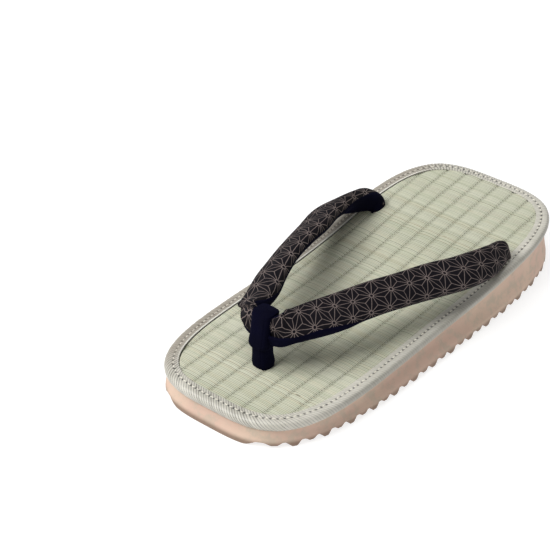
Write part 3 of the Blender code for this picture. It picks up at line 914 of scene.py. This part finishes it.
class SANDAL_OT_binding(bpy.types.Operator):
    """Make the ribbed ribbon round the edge of the mat"""

    bl_idname = "sandal.binding"
    bl_label = "Ribbon edge"

    def execute(self, context):
        sizes = context.scene.sandal_sizes
        points, outward, arc, total = mat_outline(2160)
        ribs = round(total / sizes.ribbon_ribs)
        stitches = stitch_count(sizes)
        section = self.section()
        along = arc_lengths(section)
        normal = np.gradient(section, axis=0)
        normal = unit(np.stack([-normal[:, 1], normal[:, 0]], axis=1))
        wrapped = np.where(arc > total / 2, arc - total, arc)
        slant = SIDE_SLANT + TOE_SLANT * hill(wrapped, 0.0, RIB_STRETCH)
        phase = (arc[:, None] - slant[:, None] * along[None, :]) / total * ribs
        rib = np.abs(np.sin(math.pi * phase)) ** 0.75
        near = smooth_step(-0.03, 0.045, points[:, 0])
        strong = hill(wrapped, 0.0, RIB_STRETCH - NEAR_RIB_LOSS * near)
        strong = (strong + (1 - strong) * (0.9 - 0.38 * near))[:, None]
        # Painted shade on the near side, from the shoulder of the ribbon down its outer wall
        shaded = near * smooth_step(0.035, 0.075, np.abs(wrapped))
        painted_turn_shade = smooth_step(0.0072, 0.0098, along)[None, :] * shaded[:, None]
        rng = np.random.default_rng(5)
        number = np.mod(np.floor(phase).astype(int), ribs)
        rib = rib * rng.uniform(0.75, 1.15, ribs)[number]
        worn = smooth_step(0.0001, 0.0012, along)[None, :]
        offset = section[None, :, 0]
        down = hill(offset, STITCH_OFFSET, STITCH_ROW_WIDTH) * (section[None, :, 1] > -0.001)
        share = np.mod(arc / total * stitches, 1.0)
        beside = np.abs(share - 0.5) * total / stitches
        reach = HOLE_REACH + NEAR_HOLE_REACH * smooth_step(0.09, 0.15, np.abs(wrapped)) * near
        half = total / stitches / 2
        hole = smooth_step(half - reach, half - reach / 4, beside)[:, None] * down
        relief = (rib - 0.5) * sizes.ribbon_relief * worn * strong
        relief = relief - down * STITCH_ROW_DEPTH - hole * HOLE_DEPTH
        offset = offset + relief * normal[None, :, 0]
        up = section[None, :, 1] + relief * normal[None, :, 1]
        place = points[:, None, :] + outward[:, None, :] * offset[..., None]
        z = mat_top(place[..., 1]) + up
        surface = np.concatenate([place, z[..., None]], axis=2)
        uv = np.stack(np.broadcast_arrays(phase * total / ribs, along[None, :]), axis=2)
        # Painted shade for the ribbon's colour: between the ribs, in the needle holes, where the near
        # side turns down, and a fixed share on its underside
        depth = np.clip(1 - rib, 0, 1) * worn * (1.3 * strong - 0.3) * (1 - 0.8 * painted_turn_shade)
        depth = depth + hole + 0.46 * painted_turn_shade
        bottom = section[:, 1][None, :] < -0.0045
        depth = np.clip(np.where(bottom, 0.5, depth), 0, 1)
        edge = hill(section[:, 0], 0.00038, 0.00035) * (section[:, 1] > 0.0001)
        # Painted shade where the ribbon dips beside the mat, and in the needle holes
        hollow = smooth_step(0.0, -0.0004, section[:, 1]) * (section[:, 0] < 0.0004)
        hollow = np.maximum(hollow[None, :] * np.ones_like(hole), hole * 0.8)
        selvedge = edge[None, :] * np.ones_like(hole)
        binding = carried_grid("ribbon_edge", closed_both(surface), closed_both(uv))
        for name, values in (("depth", depth), ("selvedge", selvedge), ("hollow", hollow)):
            paint(binding, name, closed_both(values))
        close_up(binding)
        dress(binding, ribbon_finish(context.scene.sandal_colours), ["edge_binding"])
        return {"FINISHED"}

    def section(self):
        """Ribbon's section in metres, rounded, with finer steps along its inner edge."""
        corners = np.array(RIBBON_SECTION) * MM
        lengths = arc_lengths(corners)
        line = read_rows(lengths, corners, np.linspace(0.0, lengths[-1], 61))
        end = arc_lengths(line)[-1]
        return along_line(line, np.concatenate([np.linspace(0, 0.0028, 8), np.linspace(0.0034, end, 25)]))


def stitch_count(sizes):
    """Whole number of stitches round the mat."""
    points, outward = mat_outline(720)[:2]
    line = points + outward * STITCH_OFFSET
    return int(round(arc_lengths(closed(line))[-1] / sizes.stitch_pitch))


class SANDAL_OT_stitches(bpy.types.Operator):
    """Make one stitch and copy it round the ribbon"""

    bl_idname = "sandal.stitches"
    bl_label = "Stitches"

    def execute(self, context):
        sizes = context.scene.sandal_sizes
        points, outward = mat_outline(stitch_count(sizes) * 2)[:2]
        line = points + outward * STITCH_OFFSET
        z = mat_top(line[:, 1]) + STITCH_RISE
        places = np.column_stack([line, z])[1::2]
        ahead = np.column_stack([-outward[:, 1], outward[:, 0], 0 * z])[1::2]
        first = self.stitch(sizes)
        rng = np.random.default_rng(3)
        copies = []
        for place, along in zip(places, ahead):
            copy = first.copy()
            copy.data = first.data.copy()
            bpy.context.collection.objects.link(copy)
            turn = math.atan2(along[1], along[0]) + rng.normal(0.0, 0.11)
            matrix = Matrix.Translation((place[0], place[1] + SHIFT_Y, place[2]))
            drawn_in = 0.78 if place[0] < -0.03 else 1.0
            copy.matrix_world = matrix @ Matrix.Rotation(turn, 4, "Z") @ Matrix.Diagonal(
                (rng.uniform(0.66, 1.14), drawn_in * rng.uniform(0.75, 1.1), drawn_in, 1.0))
            copies.append(copy)
        bpy.data.objects.remove(first, do_unlink=True)
        pick(*copies)
        bpy.ops.object.join()
        bpy.ops.object.transform_apply(location=True, rotation=True, scale=True)
        row = bpy.context.object
        row.name = "edge_stitches"
        row.data.name = "edge_stitches"
        bpy.ops.object.shade_smooth()
        dress(row, thread_finish(context.scene.sandal_colours))
        return {"FINISHED"}

    def stitch(self, sizes):
        """A short thread that bows up and dives at both ends."""
        pick()
        bpy.ops.mesh.primitive_uv_sphere_add(segments=8, ring_count=7, radius=0.5)
        stitch = bpy.context.object
        co = np.empty(len(stitch.data.vertices) * 3)
        stitch.data.vertices.foreach_get("co", co)
        co = co.reshape(-1, 3)
        share = np.sin(co[:, 2] * math.pi)
        bent = np.stack([
            share * sizes.stitch_length / 2,
            co[:, 0] * sizes.thread,
            co[:, 1] * sizes.thread - share ** 2 * sizes.thread * 0.45], axis=1)
        stitch.data.vertices.foreach_set("co", bent.reshape(-1))
        return stitch


def strap_table():
    """Rows of the right strap in metres, from the plane x = 0 to the bottom of its pocket."""
    height = float(mat_top(JUNCTION_Y)) + JUNCTION_RISE
    rows = []
    for x in (0.0, LOOP_WIDTH / 2 + CLEARANCE):
        rows.append((x, JUNCTION_Y, height, JUNCTION_HEIGHT, JUNCTION_THICKNESS, 90, 90))
    for run, out, lift, wide, thick, lean, turn in STRAP_ROWS:
        y = JUNCTION_Y + run * (ANCHOR_Y - JUNCTION_Y)
        z = float(mat_top(y)) + lift * STRAP_RISE
        rows.append((out * ANCHOR_X, y, z, wide * STRAP_WIDTH, thick * STRAP_THICKNESS, lean, turn))
    for lift in (0.0, -ANCHOR_DEPTH):
        z = float(mat_top(ANCHOR_Y)) + lift
        rows.append((ANCHOR_X, ANCHOR_Y, z, ANCHOR_WIDTH, ANCHOR_THICKNESS, 90, 0))
    return np.array(rows, dtype=float)


class Strap:
    """One strap as sections along its middle line."""

    def __init__(self, side, count, start=0.0):
        self.side = side
        table = strap_table()
        lengths = arc_lengths(table[:, :3])
        shares = lengths / lengths[-1]
        passage = shares[1]
        share = start + (1.0 - start) * np.linspace(0.0, 1.0, count) ** 1.35

        def centre(at):
            """Places of the middle line at shares of its length."""
            return read_rows(shares, table[:, :3], at)

        self.centre = centre(share)
        step = 0.002
        tangent = unit(centre(np.minimum(share + step, 1.0)) - centre(np.maximum(share - step, 0.0)))
        self.wide, self.thick, lean, turn = read_rows(shares, table[:, 3:], share).T
        lean, turn = np.radians(lean), np.radians(turn)
        out, ahead = np.sin(lean) * np.cos(turn), -np.sin(lean) * np.sin(turn)
        face = np.stack([out, ahead, np.cos(lean)], axis=1)
        inside = share <= passage
        face = unit(face - tangent * np.sum(face * tangent, axis=1, keepdims=True))
        across = np.cross(tangent, face)
        across[inside] = (0.0, 0.0, -1.0)
        face[inside] = (0.0, -1.0, 0.0)
        self.face, self.across = face, across
        arc = arc_lengths(self.centre)
        self.arc = arc - np.interp(passage, share, arc)

    def points(self, degrees, growth=0.0):
        """Points of every section at angles from the outer edge over the face, grown outwards."""
        angle = np.radians(degrees)
        power = 2 / STRAP_SQUARENESS
        if self.side > 0:
            arcs, reaches = np.array(LOWER_EDGE).T * MM
            share = hill(degrees, LOWER_EDGE_ANGLE, LOWER_EDGE_SPREAD)
            growth = growth + read_table(arcs, reaches, self.arc)[:, None] * share
        wide = squared(np.cos(angle), power) * (self.wide[:, None] / 2 + growth)
        deep = squared(np.sin(angle), power) * (self.thick[:, None] / 2 + growth)
        places = self.centre[:, None] + self.across[:, None] * wide[..., None]
        places = places + self.face[:, None] * deep[..., None]
        flat = np.stack([wide, deep], axis=2)
        return places * (self.side, 1.0, 1.0), flat


def crease(degrees):
    """Place along the left strap where its cloth is folded under, at angles round the strap."""
    return (CREASE_PLACE - CREASE_SLOPE * (np.clip(degrees, -20.0, 200.0) - CREASE_ANGLE)) * MM


def capped(rows):
    """Rows of rings with a point at each end that closes them."""
    first = np.broadcast_to(rows[:1].mean(axis=1, keepdims=True), rows[:1].shape)
    last = np.broadcast_to(rows[-1:].mean(axis=1, keepdims=True), rows[-1:].shape)
    return np.concatenate([first, rows, last])


class SANDAL_OT_straps(bpy.types.Operator):
    """Make both padded straps of printed cloth and their velvet linings"""

    bl_idname = "sandal.straps"
    bl_label = "Straps"

    def execute(self, context):
        sizes, colours = context.scene.sandal_sizes, context.scene.sandal_colours
        cloth = cloth_finish(colours, sizes)
        velvet = velvet_finish(colours)
        for side, word in ((1, "right"), (-1, "left")):
            piece = self.cloth(side, word, sizes)
            dress(piece, cloth, ["strap_upper"])
            piece = self.lining(side, word)
            dress(piece, velvet, ["strap_upper"])
        return {"FINISHED"}

    def cloth(self, side, word, sizes):
        """Closed padded tube with the cloth's own UV map, in metres of cloth."""
        strap = Strap(side, 300)
        degrees = np.linspace(-90.0, 270.0, 81)
        places, flat = strap.points(degrees, self.folds(strap, degrees, side))
        steps = np.linalg.norm(np.diff(flat, axis=1), axis=2)
        around = np.concatenate([np.zeros((len(flat), 1)), np.cumsum(steps, axis=1)], axis=1)
        v = around[:, 40:41] - around
        uv = self.drawn(CLOTH_RIGHT if side > 0 else CLOTH_LEFT, strap.arc[:, None], v, sizes)
        if side < 0:
            flap = np.broadcast_arrays(strap.arc[:, None] - 0.0033, (v + 0.0047) * 0.55)
            flap = np.stack(flap, axis=2)
            below = strap.arc[:, None] < crease(degrees)[None, :]
            uv = np.where(below[..., None], flap, uv)
        uv = np.concatenate([uv[:1], uv, uv[-1:]])
        piece = carried_grid("strap_cloth_" + word, capped(places), uv)
        return close_up(piece)

    def folds(self, strap, degrees, side):
        """How far the cloth stands out or is tucked in, at every place of the strap."""
        arc = strap.arc[:, None]
        left = strap.arc[-1] - arc
        angle = np.radians(degrees)[None, :]
        out = 0.00014 * np.sin(arc / 0.0071) * np.cos(2 * angle)
        out = out + 0.00022 * np.sin(7 * angle + 0.6) * hill(arc, 0.0, 0.011)
        out = out + 0.00035 * np.sin(6 * angle + 1.0 + side) * hill(left, 0.0, 0.013)
        if side > 0:
            folds = self.ridges(REAR_FOLDS, left, degrees) + self.ridges(FRONT_FOLDS, arc, degrees)
            return out + folds
        upper = (smooth_step(-40.0, 20.0, degrees) * smooth_step(215.0, 165.0, degrees))[None, :]
        past = arc - crease(degrees)[None, :]
        out = out - 0.0014 * smooth_step(0.0003, -0.0005, past) * upper
        out = out + 0.0007 * hill(past, 0.0016, 0.0015) * upper
        return out + self.ridges(CREASE_FOLDS, past, degrees)

    def ridges(self, folds, along, degrees):
        """Ridges and troughs from a table of folds, at places along a strap and angles round it."""
        out = 0.0
        for height, place, spread, middle, width in folds:
            ridge = hill(along, place * MM, spread * MM) * hill(degrees, middle, width)[None, :]
            out = out + height * MM * ridge
        return out

    def drawn(self, table, arc, v, sizes):
        """Place of each point on the cloth before it was cut, from its place on the strap."""
        table = np.array(table) * (MM, 1, 1, MM, MM)
        low, high, upper, lower = [read_table(table[:, 0], table[:, key], arc) for key in (1, 2, 3, 4)]
        rows = (v - upper) / (lower - upper)
        steps = low + (high - low) * rows
        return np.stack([steps * sizes.leaf_side, rows * sizes.leaf_side * math.sqrt(3) / 2], axis=2)

    def lining(self, side, word):
        """Velvet shell round the underside, its edges rolled over the cloth's."""
        strap = Strap(side, 240, 0.02)
        inner = np.interp(strap.arc, (0.0, 0.012, 0.035, 0.18), (12.0, 2.0, -14.0, -22.0))
        raised = inner
        if side > 0:
            arcs, angles = np.array(LINING_EDGE).T
            raised = read_table(arcs * MM, angles, strap.arc)
        share = np.linspace(0.0, 1.0, 41)
        outer = raised[:, None] - share[None, :] * (180.0 + raised[:, None] + inner[:, None])
        inner = outer[:, ::-4]
        over = 0.00032 * np.sin(math.pi * np.clip(share, 0.02, 0.98)) ** 0.25
        places = strap.points(outer, over[None, :])[0]
        under = strap.points(inner, -0.0007)[0]
        rows = np.concatenate([places, under, places[:, :1]], axis=1)
        piece = carried_grid("strap_lining_" + word, capped(rows))
        return close_up(piece)


class SANDAL_OT_toe_loop(bpy.types.Operator):
    """Make the velvet toe loop with its head over the straps"""

    bl_idname = "sandal.toe_loop"
    bl_label = "Toe loop"

    def execute(self, context):
        base = float(mat_top(JUNCTION_Y))
        junction = base + JUNCTION_RISE
        foot = base - LOOP_DEPTH
        neck = junction - JUNCTION_HEIGHT / 2 - CLEARANCE - LOOP_WALL
        top = junction + JUNCTION_HEIGHT / 2 + CLEARANCE + LOOP_WALL - LOOP_TOP_DROP
        depth = JUNCTION_THICKNESS + 2 * (CLEARANCE + LOOP_WALL)
        levels = [foot + (neck - foot) * up for up, swell in STEM_ROWS]
        wide = [LOOP_STEM + (LOOP_FOOT - LOOP_STEM) * swell for up, swell in STEM_ROWS]
        deep = list(wide)
        low = neck + 0.0004
        for up, wider, deeper in HEAD_ROWS:
            levels.append(low + (top - low) * up)
            wide.append(LOOP_WIDTH * wider)
            deep.append(depth * deeper)
        z = np.concatenate([np.linspace(foot, neck, 60), np.linspace(neck, top, 60)[1:]])
        half_wide = read_table(levels, wide, z)[:, None] / 2
        half_deep = read_table(levels, deep, z)[:, None] / 2
        angle = np.linspace(0.0, 2 * math.pi, 73)
        head = smooth_step(neck - 0.001, neck + 0.003, z)[:, None]
        power = 2 / (STRAP_SQUARENESS + 1.7 * head)
        x = squared(np.cos(angle), power) * half_wide
        y = squared(np.sin(angle), power) * half_deep
        lean = -0.0012 * smooth_step(foot, neck, z) + 0.0026 * (z - neck) / (top - neck) * (z > neck)
        fold = 0.0002 * hill((angle + 1.15) % (2 * math.pi), 0.0, 0.16)
        squeeze = 1 - fold[None, :] / 0.006
        y = JUNCTION_Y + lean[:, None] + y * squeeze
        rows = np.stack([x * squeeze, y, np.broadcast_to(z[:, None], x.shape)], axis=2)
        loop = close_up(carried_grid("velvet_toe_loop", capped(rows)))
        velvet = bpy.data.materials.get("velvet pile") or velvet_finish(context.scene.sandal_colours)
        dress(loop, velvet, ["toe_loop"])
        return {"FINISHED"}


class SANDAL_OT_strands(bpy.types.Operator):
    """Make the rush strands that are pushed aside round the ends of the straps"""

    bl_idname = "sandal.strands"
    bl_label = "Pushed strands"

    def execute(self, context):
        finish = thread_finish(context.scene.sandal_colours)
        for side, word in ((1, "right"), (-1, "left")):
            for number, (radius, start, end) in enumerate(PUSHED_STRANDS):
                degrees = np.radians(np.linspace(start, end, 12))
                x = ANCHOR_X + np.cos(degrees) * radius * MM
                y = ANCHOR_Y + np.sin(degrees) * radius * MM * 1.1
                rise = np.sin(np.linspace(0, math.pi, 12)) ** 0.6
                z = mat_top(y) - 0.0004 + rise * 0.0006
                self.strand("pushed_strand_%s_%d" % (word, number), side * x, y + SHIFT_Y, z, finish)
        return {"FINISHED"}

    def strand(self, name, x, y, z, finish):
        """One strand as a bent line with a round section."""
        pick()
        bpy.ops.curve.primitive_nurbs_path_add(enter_editmode=False)
        strand = bpy.context.object
        strand.name = name
        strand.data.splines.clear()
        line = strand.data.splines.new("POLY")
        line.points.add(len(x) - 1)
        for point, place in zip(line.points, zip(x, y, z)):
            point.co = (*place, 1.0)
        strand.location = (0.0, 0.0, 0.0)
        strand.data.dimensions = "3D"
        strand.data.bevel_depth = STRAND_RADIUS
        strand.data.bevel_resolution = 2
        strand.data.use_fill_caps = True
        dress(strand, finish)


class SANDAL_OT_stage(bpy.types.Operator):
    """Set the pale floor, the soft lights and the camera"""

    bl_idname = "sandal.stage"
    bl_label = "Stage"

    def execute(self, context):
        pick()
        bpy.ops.mesh.primitive_plane_add(size=40.0, location=(0.0, 0.0, 0.0))
        floor = bpy.context.object
        floor.name = "floor"
        f = Finish("pale floor")
        floor.data.materials.append(f.done(
            context.scene.sandal_colours.floor, 0.9, specular_ior_level=0.1,
            emission_color=(1.0, 1.0, 1.0), emission_strength=0.76))
        for name, place, size, power in LIGHTS:
            self.light(name, place, size, power)
        world = bpy.data.worlds.new("studio")
        world.use_nodes = True
        nodes, links = world.node_tree.nodes, world.node_tree.links
        up = nodes.new("ShaderNodeSeparateXYZ")
        links.new(nodes.new("ShaderNodeTexCoord").outputs["Generated"], up.inputs[0])
        haze = nodes.new("ShaderNodeMapRange")
        for key, value in ((1, 0.0), (2, 0.3), (3, 0.95), (4, 0.15)):
            haze.inputs[key].default_value = value
        links.new(up.outputs["Z"], haze.inputs[0])
        nodes["Background"].inputs[0].default_value = (1.0, 1.0, 1.0, 1.0)
        links.new(haze.outputs[0], nodes["Background"].inputs[1])
        context.scene.world = world
        context.scene.view_settings.view_transform = "Standard"
        self.camera(context)
        return {"FINISHED"}

    def light(self, name, place, size, power):
        """Square soft light that looks at the sandal."""
        bpy.ops.object.light_add(type="AREA", location=place)
        lamp = bpy.context.object
        lamp.name = name
        lamp.data.size = size
        lamp.data.energy = power
        aim = Matrix.Translation(place).inverted().translation
        lamp.rotation_euler = aim.to_track_quat("-Z", "Y").to_euler()

    def camera(self, context):
        """Camera at the photograph's viewing angle, from the toe's side and above."""
        bpy.ops.object.camera_add(location=CAMERA_PLACE)
        camera = bpy.context.object
        camera.name = "camera"
        camera.data.lens = CAMERA_LENS
        camera.data.sensor_width = CAMERA_SENSOR
        camera.rotation_euler = Matrix(CAMERA_TURN).to_euler()
        context.scene.camera = camera


class VIEW3D_PT_sandal(bpy.types.Panel):
    """Panel that lists the sandal's sizes, colours and pieces"""

    bl_label = "Zori Sandal"
    bl_idname = "VIEW3D_PT_sandal"
    bl_space_type = "VIEW_3D"
    bl_region_type = "UI"
    bl_category = "Sandal"

    def draw(self, context):
        layout = self.layout
        for group in (context.scene.sandal_sizes, context.scene.sandal_colours):
            column = layout.column()
            for key in type(group).__annotations__:
                column.prop(group, key)
        for operator in OPERATORS:
            layout.operator(operator.bl_idname)


OPERATORS = (
    SANDAL_OT_sole,
    SANDAL_OT_mat,
    SANDAL_OT_binding,
    SANDAL_OT_stitches,
    SANDAL_OT_straps,
    SANDAL_OT_toe_loop,
    SANDAL_OT_strands,
    SANDAL_OT_stage,
)


def register():
    """Add the classes and the settings to Blender."""
    for group in (SandalSizes, SandalColours):
        bpy.utils.register_class(group)
    bpy.types.Scene.sandal_sizes = PointerProperty(type=SandalSizes)
    bpy.types.Scene.sandal_colours = PointerProperty(type=SandalColours)
    for operator in OPERATORS:
        bpy.utils.register_class(operator)
    bpy.utils.register_class(VIEW3D_PT_sandal)


def unregister():
    """Take the settings and the classes out again."""
    bpy.utils.unregister_class(VIEW3D_PT_sandal)
    for operator in reversed(OPERATORS):
        bpy.utils.unregister_class(operator)
    del bpy.types.Scene.sandal_colours
    del bpy.types.Scene.sandal_sizes
    for group in (SandalColours, SandalSizes):
        bpy.utils.unregister_class(group)


def main():
    """Make every piece in turn."""
    register()
    bpy.ops.sandal.sole()
    bpy.ops.sandal.mat()
    bpy.ops.sandal.binding()
    bpy.ops.sandal.stitches()
    bpy.ops.sandal.straps()
    bpy.ops.sandal.toe_loop()
    bpy.ops.sandal.strands()
    bpy.ops.sandal.stage()


if __name__ == "__main__":
    main()
